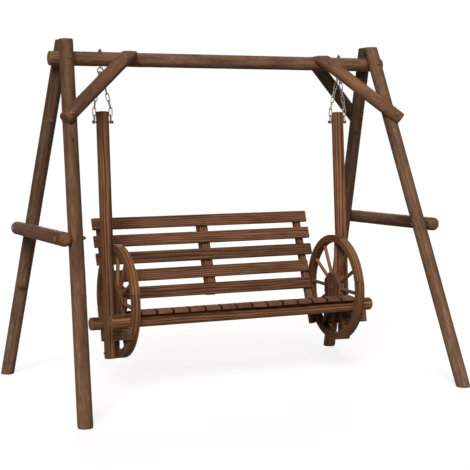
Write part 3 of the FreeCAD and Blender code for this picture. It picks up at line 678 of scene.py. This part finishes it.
# Turned fir, cut across many yearly rings: bold straight stripes of light and dark brown, little scorched.
turned_fir = scorched_fir(
    "turned_fir", "#996d4f", "#402919", "#332014", ring=0.011, stripe=1.0, patch=0.3, streak=0.03,
    warp=0.022, pith=(0.045, 0.03, 0.0), spread=(0.05, 0.04, 9.0))
for side, tone in (("left", 0.46), ("right", 0.6)):
    across = SIDES[side] * HANGER_X
    peeled_log(
        f"hanger_{side}", "bench", turned_fir,
        BENCH @ Vector((across, 0, HANGER_FOOT)), BENCH @ Vector((across, 0, HANGER_TOP)), HANGER_RADIUS,
        seed=61 + SIDES[side], knots_per_metre=0.0, relief=0.0006, tone=tone,
    )

# Hanger bolts: a steel bolt through each hanger's head, on which the lowest links of its chains hang.
# A nut inside holds it. The CAD's own shapes are right here and get the brown bolt steel.
for node in ("hanger_bolts", "hanger_nuts"):
    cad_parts[node].data.materials[0] = bolt_steel

# Wheels: wagon wheels of six felloes round twelve shaved spokes and an eight-sided hub, all fir.
# Each felloe holds two spokes, and its grain runs round with the rim.
# The spokes are tapered a little, and the hub's edges are sanded round.
RIM_INNER = 0.25
RIM_OUTER = 0.2905
RIM_WIDTH = 0.04
FELLOES = 6
FELLOE_GAP_ANGLE = 0.0023
FELLOE_EASE = 0.003
SPOKES = 12
SPOKE_INNER = 0.078
SPOKE_OUTER = 0.2498
SPOKE_RADIUS = 0.0098
WHEEL_X = 0.654
WHEEL_Z = -0.9145
WHEEL_TURN = math.radians(6)
HUB_X = 0.63
HUB_TONE = 0.35
HUB_EASE = 0.004
BOARD_PITH = (0.03, 0.05, 0.0)
BOARD_SPREAD = (0.12, 0.08, 9.0)
# Sawn fir, from boards that lay at different places in the trunk: broad wavy stripes, no two boards alike.
sawn_fir = scorched_fir(
    "sawn_fir", "#8e6349", "#442c1e", "#2e1d13", ring=0.010, stripe=0.95, patch=0.4, streak=0.03,
    warp=0.032, pith=BOARD_PITH, spread=BOARD_SPREAD)
# Felloe fir, sawn to a curve: the stripes run round with the rim and change at each joint.
felloe_fir = scorched_fir(
    "felloe_fir", "#8e6444", "#432b1c", "#2f1d12", ring=0.010, stripe=0.9, patch=0.35, streak=0.03,
    warp=0.02, pith=BOARD_PITH, spread=BOARD_SPREAD)
# Shaved fir, drawn down to round bars: fine, fainter stripes and the lightest of the bench's browns.
shaved_fir = scorched_fir(
    "shaved_fir", "#97694c", "#5a3a28", "#3a2419", ring=0.008, stripe=0.6, patch=0.25, streak=0.03,
    warp=0.01, pith=(0.02, 0.01, 0.0), spread=(0.03, 0.02, 9.0))


def grained(tree, mesh, grain):
    """A timber that keeps where each of its points lies in the wood."""
    return add(tree, "GeometryNodeStoreNamedAttribute", {"Geometry": mesh, "Name": "grain", "Value": grain},
               data_type="FLOAT_VECTOR", domain="POINT")


def set_in_ring(tree, timber, count):
    """Copies of a timber, evenly round the Z axis."""
    places = add(tree, "GeometryNodeMeshLine", {"Count": count, "Offset": (0, 0, 0)})
    index = add(tree, "GeometryNodeInputIndex")
    share = add(tree, "ShaderNodeMath", {0: 2 * math.pi, 1: count}, operation="DIVIDE")
    angle = add(tree, "ShaderNodeMath", {0: index, 1: share}, operation="MULTIPLY")
    spin = add(tree, "ShaderNodeCombineXYZ", {"Z": angle})
    spun = add(tree, "FunctionNodeEulerToRotation", {0: spin})
    return add(tree, "GeometryNodeInstanceOnPoints", {
        "Points": places, "Instance": timber, "Rotation": spun})


def close_timbers(tree, copies, seed, wood):
    """The end of a tree of timbers: each gets its own number, from which its shade and grain follow."""
    number = add(tree, "FunctionNodeRandomValue", {"Seed": seed}, data_type="FLOAT").outputs[1]
    numbered = add(tree, "GeometryNodeStoreNamedAttribute", {
        "Geometry": copies, "Name": "board", "Value": number}, data_type="FLOAT", domain="INSTANCE")
    close_tree(tree, numbered, wood)


felloes, given = new_tree("felloe_ring", {
    "Felloes": "Int", "Mean Radius": "Float", "Depth": "Float", "Width": "Float", "Sweep": "Float",
    "Seed": "Int", "Wood": "Material",
})
blank = add(felloes, "ShaderNodeCombineXYZ", {
    "X": given["Depth"], "Y": given["Sweep"], "Z": given["Width"]})
block = add(felloes, "GeometryNodeMeshCube", {
    "Size": blank, "Vertices X": 2, "Vertices Y": 25, "Vertices Z": 2})
at = add(felloes, "GeometryNodeInputPosition")
depth, sweep, width = add(felloes, "ShaderNodeSeparateXYZ", {0: at}).outputs
length = add(felloes, "ShaderNodeMath", {0: sweep, 1: given["Mean Radius"]}, operation="MULTIPLY")
fibres = add(felloes, "ShaderNodeCombineXYZ", {"X": depth, "Y": width, "Z": length})
reach = add(felloes, "ShaderNodeMath", {0: depth, 1: given["Mean Radius"]}, operation="ADD")
cosine = add(felloes, "ShaderNodeMath", {0: sweep}, operation="COSINE")
sine = add(felloes, "ShaderNodeMath", {0: sweep}, operation="SINE")
along = add(felloes, "ShaderNodeMath", {0: reach, 1: cosine}, operation="MULTIPLY")
across = add(felloes, "ShaderNodeMath", {0: reach, 1: sine}, operation="MULTIPLY")
arc = add(felloes, "ShaderNodeCombineXYZ", {"X": along, "Y": across, "Z": width})
curved = add(felloes, "GeometryNodeSetPosition", {
    "Geometry": grained(felloes, block, fibres), "Position": arc})
ringed = set_in_ring(felloes, curved, given["Felloes"])
close_timbers(felloes, ringed, given["Seed"], given["Wood"])

spokes, given = new_tree("shaved_spokes", {
    "Spokes": "Int", "Inner": "Float", "Outer": "Float", "Radius": "Float", "Seed": "Int",
    "Wood": "Material",
})
inner = add(spokes, "ShaderNodeCombineXYZ", {"X": given["Inner"]})
outer = add(spokes, "ShaderNodeCombineXYZ", {"X": given["Outer"]})
line = add(spokes, "GeometryNodeCurvePrimitiveLine", {"Start": inner, "End": outer})
steps = add(spokes, "GeometryNodeResampleCurve", {"Curve": line, "Count": 16})
part_way = add(spokes, "GeometryNodeSplineParameter")
slim = add(spokes, "ShaderNodeMapRange", {"Value": part_way, "To Min": 1.0, "To Max": 0.94})
tapered = add(spokes, "GeometryNodeSetCurveRadius", {"Curve": steps, "Radius": slim})
round_bar = add(spokes, "GeometryNodeCurvePrimitiveCircle", {"Resolution": 16, "Radius": given["Radius"]})
rod = add(spokes, "GeometryNodeCurveToMesh", {
    "Curve": tapered, "Profile Curve": round_bar, "Fill Caps": True})
at = add(spokes, "GeometryNodeInputPosition")
length, depth, width = add(spokes, "ShaderNodeSeparateXYZ", {0: at}).outputs
fibres = add(spokes, "ShaderNodeCombineXYZ", {"X": depth, "Y": width, "Z": length})
starred = set_in_ring(spokes, grained(spokes, rod, fibres), given["Spokes"])
close_timbers(spokes, starred, given["Seed"], given["Wood"])


def eased(made, width):
    """Rounds a piece's sharp edges, as sanding does."""
    edge = made.modifiers.new("eased_edges", "BEVEL")
    edge.width = width
    edge.segments = 2
    edge.limit_method = "ANGLE"
    edge.angle_limit = math.radians(40)


def sawn_piece(node, ending, place, tone, ease):
    """A timber in the shape its CAD node has, with its grain along the place's Z axis and eased edges."""
    mesh = closed_copy(node)
    write_grain(mesh, place, tone)
    eased(piece(node + ending, mesh, sawn_fir, "bench", [node]), ease)


# The seeds are picked for the felloes' tones. On the right wheel the darker felloes are partly painted
# shade, where the seat shades the wheel, and partly the boards' own tone.
for side, felloe_seed, spoke_seed in (("left", 87, 990), ("right", 467, 1036)):
    sign_x = SIDES[side]
    forward = Vector((0, -math.cos(WHEEL_TURN), -math.sin(WHEEL_TURN)))
    inward = Vector((-sign_x, 0, 0))
    axes = Matrix((forward, inward.cross(forward), inward)).transposed().to_4x4()
    wheel = BENCH @ Matrix.Translation((sign_x * WHEEL_X, 0, WHEEL_Z)) @ axes
    mid_rim = wheel @ Matrix.Translation((0, 0, RIM_WIDTH / 2))
    mesh = grown(f"wheel_{side}_felloe_ring", felloes, {
        "Felloes": FELLOES, "Mean Radius": (RIM_INNER + RIM_OUTER) / 2, "Depth": RIM_OUTER - RIM_INNER,
        "Width": RIM_WIDTH, "Sweep": 2 * math.pi / FELLOES - FELLOE_GAP_ANGLE, "Seed": felloe_seed,
        "Wood": felloe_fir,
    })
    mesh.transform(mid_rim @ Matrix.Rotation(-sign_x * math.pi / SPOKES, 4, "Z"))
    made = piece(f"wheel_{side}_felloe_ring", mesh, felloe_fir, "bench", [f"wheel_{side}_felloes"])
    eased(made, FELLOE_EASE)
    mesh = grown(f"wheel_{side}_spoke_star", spokes, {
        "Spokes": SPOKES, "Inner": SPOKE_INNER, "Outer": SPOKE_OUTER, "Radius": SPOKE_RADIUS,
        "Seed": spoke_seed, "Wood": shaved_fir,
    })
    mesh.transform(mid_rim)
    mesh.shade_smooth()
    piece(f"wheel_{side}_spoke_star", mesh, shaved_fir, "bench", [f"wheel_{side}_spokes"])
    middle = BENCH @ Vector((sign_x * HUB_X, 0, WHEEL_Z))
    upright = grain_frame(middle, middle + Vector((0, 0, 1)))
    sawn_piece(f"wheel_{side}_hub", "_block", upright, HUB_TONE, HUB_EASE)

# Seat logs: two turned fir logs across the bench, front and rear, which pass through both wheels.
# Between the wheels their tops are planed flat as a bed for the slats.
# Their ends are rounded over, and worn down to the orange wood.
SEAT_PLACE = (0, -0.193, -1.001)
SEAT_TILT = math.radians(-6)
SEAT = BENCH @ Matrix.Translation(SEAT_PLACE) @ Matrix.Rotation(SEAT_TILT, 4, "X")
SEAT_LOG_HALF = 0.742
SEAT_LOG_RADIUS = 0.033
SEAT_LOG_Y = {"front": 0.0, "rear": 0.3415}
for face, seed, tone in (("front", 71, 0.98), ("rear", 74, 0.6385)):
    depth = SEAT_LOG_Y[face]
    peeled_log(
        f"seat_log_{face}", "bench", turned_fir,
        SEAT @ Vector((-SEAT_LOG_HALF, depth, 0)), SEAT @ Vector((SEAT_LOG_HALF, depth, 0)),
        SEAT_LOG_RADIUS, seed=seed, knots_per_metre=0.0, relief=0.0006, tone=tone, bare=1.2,
    )

# Bearers: a sawn fir board on edge outside each wheel, under both seat logs.
# It sits in a housing in the hanger, and carries the seat's weight into it.
BEARER_X = 0.6642
BEARER_Z = -0.063
BEARER_FRONT = -0.066
BEARER_REAR = 0.378
BOARD_EASE = 0.002
for side, tone in (("left", 0.25), ("right", 0.65)):
    across = SIDES[side] * BEARER_X
    along = grain_frame((across, BEARER_FRONT, BEARER_Z), (across, BEARER_REAR, BEARER_Z))
    sawn_piece(f"bearer_{side}", "_board", SEAT @ along, tone, BOARD_EASE)

# Seat slats: fourteen short fir boards, front to back over the seat logs, a finger's gap apart.
# Each is let into the flats on the logs, has its own grain and tone, and is planed down to a nose in front.
# Their sides are painted near black, as painted shade in the gaps, so the gaps read dark.
SEAT_SLATS = 14
SEAT_PITCH = 0.0869
SEAT_SLAT_SIZE = (0.076, 0.03, 0.466)
SEAT_ROW_Y = 0.151
SEAT_ROW_Z = 0.0365
NOSE_DROP = 0.013
NOSE_START = -0.49
# How far the seat slats' sides are painted dark, as painted shade in the gaps.
SIDE_SHADE = 0.8
SLAT_SKEW = 0.003
SLAT_EASE = 0.0025
slats, given = new_tree("slat_row", {
    "Count": "Int", "Size": "Vector", "Nose Drop": "Float", "Side Shade": "Float", "Step": "Vector",
    "Turn": "Vector", "Skew": "Float", "Seed": "Int", "Wood": "Material",
})
board = add(slats, "GeometryNodeMeshCube", {
    "Size": given["Size"], "Vertices X": 2, "Vertices Y": 2, "Vertices Z": 11})
at = add(slats, "GeometryNodeInputPosition")
normal = add(slats, "GeometryNodeInputNormal")
# Painted shade: faces that look sideways, the slats' sides in the gaps, are marked to be painted dark.
facing = add(slats, "ShaderNodeSeparateXYZ", {0: normal}).outputs["X"]
sideways = add(slats, "ShaderNodeMath", {0: facing}, operation="ABSOLUTE")
dark = add(slats, "ShaderNodeMath", {0: sideways, 1: given["Side Shade"]}, operation="MULTIPLY")
slat_with_gap_shade = add(slats, "GeometryNodeStoreNamedAttribute", {
    "Geometry": grained(slats, board, at), "Name": "gap_shade", "Value": dark},
    data_type="FLOAT", domain="FACE")
whole = add(slats, "ShaderNodeSeparateXYZ", {0: given["Size"]}).outputs["Z"]
_, height, along = add(slats, "ShaderNodeSeparateXYZ", {0: at}).outputs
end = add(slats, "ShaderNodeMath", {0: whole, 1: NOSE_START}, operation="MULTIPLY")
at_end = add(slats, "ShaderNodeMath", {0: along, 1: end}, operation="LESS_THAN")
on_top = add(slats, "ShaderNodeMath", {0: height, 1: 0.0}, operation="LESS_THAN")
nose = add(slats, "ShaderNodeMath", {0: at_end, 1: on_top}, operation="MULTIPLY")
dip = add(slats, "ShaderNodeMath", {0: nose, 1: given["Nose Drop"]}, operation="MULTIPLY")
down = add(slats, "ShaderNodeCombineXYZ", {"Y": dip})
planed = add(slats, "GeometryNodeSetPosition", {"Geometry": slat_with_gap_shade, "Offset": down})
row = add(slats, "GeometryNodeMeshLine", {"Count": given["Count"], "Offset": given["Step"]})
chance = add(slats, "FunctionNodeRandomValue", {0: (-1, -1, -1), 1: (1, 1, 1), "Seed": given["Seed"]},
             data_type="FLOAT_VECTOR")
skew = add(slats, "ShaderNodeVectorMath", {0: chance, "Scale": given["Skew"]}, operation="SCALE")
laid = add(slats, "ShaderNodeVectorMath", {0: given["Turn"], 1: skew}, operation="ADD")
turn = add(slats, "FunctionNodeEulerToRotation", {0: laid})
rowed = add(slats, "GeometryNodeInstanceOnPoints", {"Points": row, "Instance": planed, "Rotation": turn})
close_timbers(slats, rowed, given["Seed"], given["Wood"])
mesh = grown("seat_slat_row", slats, {
    "Count": SEAT_SLATS, "Size": SEAT_SLAT_SIZE, "Nose Drop": NOSE_DROP, "Side Shade": SIDE_SHADE,
    "Step": (SEAT_PITCH, 0, 0), "Turn": (-math.pi / 2, 0, 0), "Skew": SLAT_SKEW, "Seed": 10,
    "Wood": sawn_fir,
})
first_x = -SEAT_PITCH * (SEAT_SLATS - 1) / 2
mesh.transform(SEAT @ Matrix.Translation((first_x, SEAT_ROW_Y, SEAT_ROW_Z)))
made = piece("seat_slat_row", mesh, sawn_fir, "bench",
             [f"seat_slat_{number + 1:02d}" for number in range(SEAT_SLATS)])
eased(made, SLAT_EASE)

# Back posts: three sawn fir boards behind the back slats, which are screwed to them.
# The outer two run down inside the wheels and are bolted to the rims. The middle one ends at the last slat.
BACK_PLACE = (0, 0.35, -0.487)
BACK_LEAN = math.radians(-16.7)
BACK = BENCH @ Matrix.Translation(BACK_PLACE) @ Matrix.Rotation(BACK_LEAN, 4, "X")
POST_X = 0.5967
POST_Y = 0.041
POST_TOP = -0.014
POSTS = (("left", -POST_X, 0.64, 0.3), ("middle", 0.0, 0.436, 0.6), ("right", POST_X, 0.64, 0.4))
for name, across, length, tone in POSTS:
    along = grain_frame((across, POST_Y, POST_TOP - length), (across, POST_Y, POST_TOP))
    sawn_piece(f"back_post_{name}", "_board", BACK @ along, tone, BOARD_EASE)

# Back slats: five sawn fir boards along the back, screwed to the posts with a wide gap between them.
# The upper three are longer because they pass behind the wheels.
BACK_SLATS = 5
BACK_PITCH = 0.098
BACK_SLAT_WIDTH = 0.064
BACK_SLAT_THICK = 0.02
FIRST_BACK_SLAT = -0.032
for name, first, count, length, seed in (("long", 0, 3, 1.294, 404), ("short", 3, 2, 1.212, 60)):
    mesh = grown(f"back_slats_{name}", slats, {
        "Count": count, "Size": (BACK_SLAT_WIDTH, BACK_SLAT_THICK, length), "Nose Drop": 0.0,
        "Side Shade": 0.0, "Step": (0, 0, -BACK_PITCH), "Turn": (0, math.pi / 2, 0), "Skew": SLAT_SKEW,
        "Seed": seed, "Wood": sawn_fir,
    })
    top = FIRST_BACK_SLAT - first * BACK_PITCH
    mesh.transform(BACK @ Matrix.Translation((0, BACK_SLAT_THICK / 2, top)))
    made = piece(f"back_slats_{name}", mesh, sawn_fir, "bench",
                 [f"back_slat_{first + number + 1}" for number in range(count)])
    eased(made, SLAT_EASE)

# Slat screws: small flat-headed steel screws, two at every crossing of a slat with a log or a post.
# Their heads stand a hair above the wood, and have browned like the bolts.
SEAT_TOP = SEAT_ROW_Z + SEAT_SLAT_SIZE[1] / 2
SEAT_SCREW_SHIFT = 0.02
BACK_SCREW_SHIFT = 0.016
screws = []
for number in range(SEAT_SLATS):
    for depth in SEAT_LOG_Y.values():
        for shift in (-SEAT_SCREW_SHIFT, SEAT_SCREW_SHIFT):
            spot = Vector((first_x + number * SEAT_PITCH + shift, depth, SEAT_TOP))
            screws.append((SEAT @ spot, SEAT.to_3x3() @ Vector((0, 0, 1))))
for number in range(BACK_SLATS):
    for across in (-POST_X, 0.0, POST_X):
        for shift in (-BACK_SCREW_SHIFT, BACK_SCREW_SHIFT):
            spot = Vector((across, 0.0, FIRST_BACK_SLAT - number * BACK_PITCH + shift))
            screws.append((BACK @ spot, BACK.to_3x3() @ Vector((0, -1, 0))))
set_fasteners("slat_screws", "bench", screws, washer=(0.0045, 0.0008), head=(0.0022, 0.0002), sides=4,
              tip=(0.0008, 0.0001), sink=0.0002)

# Bench bolts: steel bolts through the foot of each hanger into the rim, and through the rim into each outer
# back post, with a nut on a washer at the far end. One more holds each hub, and shows only its head.
FOOT_BOLT_Z = -1.176
HANGER_FACE = HANGER_X + HANGER_RADIUS
RIM_FACE = WHEEL_X - RIM_WIDTH
POST_FACE = 0.5797
HUB_FACE = 0.609
POST_BOLTS = (-0.414, -0.59)
heads = []
nuts = []
for sign_x in SIDES.values():
    outward = Vector((sign_x, 0, 0))
    heads.append((BENCH @ Vector((sign_x * HANGER_FACE, 0, FOOT_BOLT_Z)), outward))
    nuts.append((BENCH @ Vector((sign_x * RIM_FACE, 0, FOOT_BOLT_Z)), -outward))
    for low in POST_BOLTS:
        heads.append((BACK @ Vector((sign_x * WHEEL_X, POST_Y, low)), outward))
        nuts.append((BACK @ Vector((sign_x * POST_FACE, POST_Y, low)), -outward))
    heads.append((BENCH @ Vector((sign_x * HUB_FACE, 0, WHEEL_Z)), -outward))
set_fasteners("bench_bolt_heads", "bench", heads, washer=(0.0105, 0.0015), head=(0.0078, 0.0034), sides=24,
              tip=(0.0055, 0.0012), sink=0.0005)
set_fasteners("bench_bolt_nuts", "bench", nuts, washer=(0.0105, 0.0016), head=(0.0085, 0.0065), sides=6,
              tip=(0.0042, 0.005), sink=0.0005)

# Floor, light and camera: a pale floor under soft studio light, with the camera at the picture's angle.
# Floor and world look white to the camera and in reflections, and the floor keeps the soft shadow.
FLOOR_HALF = 40
FLOOR_LIFT = 0.8
WORLD_LIGHT = 0.13
LAMP_SPREAD = math.radians(30)
CAMERA_PLACE = (-2.628, -5.898, 1.283)
CAMERA_YAW = math.radians(24.44)
CAMERA_PITCH = math.radians(4.41)
CAMERA_ROLL = math.radians(-0.46)
LENS_MM = 92.64
SENSOR_MM = 36.0
corners = [(x * FLOOR_HALF, y * FLOOR_HALF, 0) for x, y in ((-1, -1), (1, -1), (1, 1), (-1, 1))]
floor_mesh = bpy.data.meshes.new("pale_floor")
floor_mesh.from_pydata(corners, [], [(0, 1, 2, 3)])
floor = placed("pale_floor", floor_mesh)
floor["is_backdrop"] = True


def seen_directly(tree):
    """One for rays that show a surface as it is: from the camera, in a gloss or through a clear piece."""
    ray = add(tree, "ShaderNodeLightPath").outputs
    glossy = add(tree, "ShaderNodeMath", {0: ray["Is Camera Ray"], 1: ray["Is Glossy Ray"]},
                 operation="MAXIMUM")
    return add(tree, "ShaderNodeMath", {0: glossy, 1: ray["Is Transmission Ray"]}, operation="MAXIMUM")


# Matte paper: a grey that takes the shadow, lifted to white where it is seen.
paper = bpy.data.materials.new("matte_paper")
tree = cleared(paper)
sheet = add(tree, "ShaderNodeBsdfDiffuse", {"Color": srgb("#94928e")})
lift = add(tree, "ShaderNodeEmission", {"Color": srgb("#ffffff"), "Strength": FLOOR_LIFT})
lifted = add(tree, "ShaderNodeAddShader", {0: sheet, 1: lift})
shown = add(tree, "ShaderNodeMixShader", {0: seen_directly(tree), 1: sheet, 2: lifted})
add(tree, "ShaderNodeOutputMaterial", {"Surface": shown})
floor_mesh.materials.append(paper)

world = bpy.data.worlds.new("white_studio")
bpy.context.scene.world = world
tree = cleared(world)
soft = add(tree, "ShaderNodeBackground", {"Color": srgb("#f6f8fb"), "Strength": WORLD_LIGHT})
white = add(tree, "ShaderNodeBackground", {"Color": srgb("#ffffff"), "Strength": 1.0})
sky = add(tree, "ShaderNodeMixShader", {0: seen_directly(tree), 1: soft, 2: white})
add(tree, "ShaderNodeOutputWorld", {"Surface": sky})

# Two broad suns: a key over the camera's left shoulder, and a lower one from behind for the back.
LAMPS = (("soft_key", 2.9, (0.4, 0.71, -0.52)), ("back_fill", 2.3, (-0.42, -0.87, -0.26)))
for name, energy, direction in LAMPS:
    lamp = bpy.data.lights.new(name, "SUN")
    lamp.energy = energy
    lamp.angle = LAMP_SPREAD
    stand = placed(name, lamp)
    stand.rotation_euler = Vector(direction).to_track_quat("-Z", "Y").to_euler()

camera = bpy.data.cameras.new("photo_camera")
camera.sensor_width = SENSOR_MM
camera.lens = LENS_MM
viewer = placed("photo_camera", camera)
viewer.matrix_world = (
    Matrix.Translation(CAMERA_PLACE)
    @ Matrix.Rotation(-CAMERA_YAW, 4, "Z")
    @ Matrix.Rotation(math.pi / 2 - CAMERA_PITCH, 4, "X")
    @ Matrix.Rotation(CAMERA_ROLL, 4, "Z")
)
bpy.context.scene.camera = viewer
bpy.context.scene.view_settings.view_transform = "Standard"

low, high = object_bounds()
